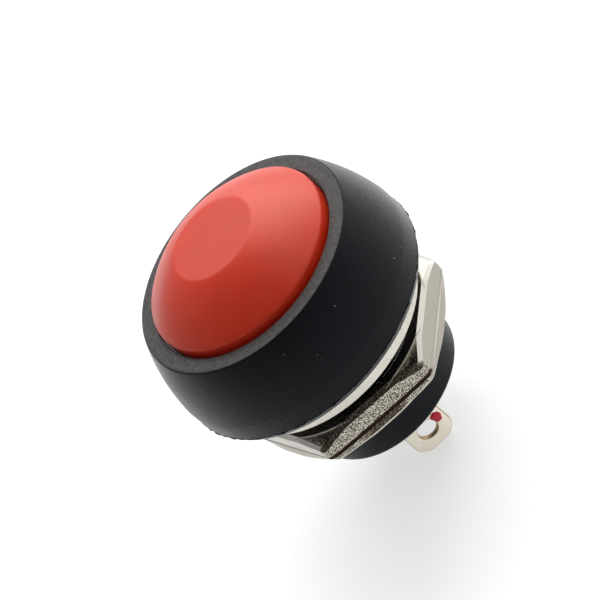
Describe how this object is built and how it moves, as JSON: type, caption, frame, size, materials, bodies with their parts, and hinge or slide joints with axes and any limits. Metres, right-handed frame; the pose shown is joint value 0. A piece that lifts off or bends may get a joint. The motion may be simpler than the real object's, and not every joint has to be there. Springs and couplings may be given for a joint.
{
  "type": "momentary push button switch",
  "caption": "Panel mount momentary push button switch with a round domed red button, a flared black head, a threaded stem with washer and hexagon nut, and solder tabs at the rear.",
  "frame": {"origin": "on the switch axis, in the plane where the panel meets the underside of the flat washer", "axes": "+Z along the switch axis towards the button, -Z towards the solder tabs"},
  "size_m": [0.018, 0.018, 0.0212],
  "materials": {
    "black_moulding": "fine matte moulding",
    "base_moulding": "matte moulding",
    "sealing_compound": "cast resin",
    "red_cap": "satin moulding",
    "plunger_nylon": "natural moulding",
    "black_rubber": "matte rubber",
    "nickel": "nickel plate, lightly pitted",
    "spring_wire": "drawn wire",
    "tinned_brass": "tin plate",
    "bridge_brass": "bright strip",
    "contact_silver": "polished",
    "red_lacquer": "gloss lacquer"
  },
  "bodies": {
    "housing": {"housing": "black_moulding", "panel_seal": "black_rubber", "plunger_seal": "black_rubber", "spring_seat": "nickel", "return_spring": "spring_wire", "contact_base": "base_moulding", "potting": "sealing_compound", "terminal_front": "tinned_brass", "terminal_rear": "tinned_brass", "fixed_contact_front": "contact_silver", "fixed_contact_rear": "contact_silver", "lacquer_spot": "red_lacquer"},
    "button": {"button_cap": "red_cap", "plunger": "plunger_nylon", "contact_spring": "spring_wire"},
    "bridge": {"contact_bridge": "bridge_brass", "moving_contact_front": "contact_silver", "moving_contact_rear": "contact_silver"},
    "washer": {"flat_washer": "nickel"},
    "nut": {"hex_nut": "nickel"}
  },
  "joints": [
    {"name": "button_press", "type": "slide", "parent": "housing", "child": "button", "axis": [0, 0, -1], "range_m": [0, 0.0015], "stiffness_N_per_m": 1400, "springref_m": -0.0007, "deforming": ["return_spring"]},
    {"name": "bridge_float", "type": "slide", "parent": "button", "child": "bridge", "axis": [0, 0, 1], "range_m": [0, 0.0005], "deforming": ["contact_spring"]},
    {"name": "nut_spin", "type": "hinge", "parent": "housing", "child": "washer", "pos_m": [0, 0, 0], "axis": [0, 0, 1], "range_deg": [-972, 417]},
    {"name": "nut_travel", "type": "slide", "parent": "washer", "child": "nut", "axis": [0, 0, 1], "range_m": [-0.0027, 0.00116]}
  ],
  "couplings": [
    {"joint": "bridge_float", "follows": "button_press", "ratio": 0.3333},
    {"joint": "nut_travel", "follows": "nut_spin", "m_per_rad": 0.00015915}
  ]
}
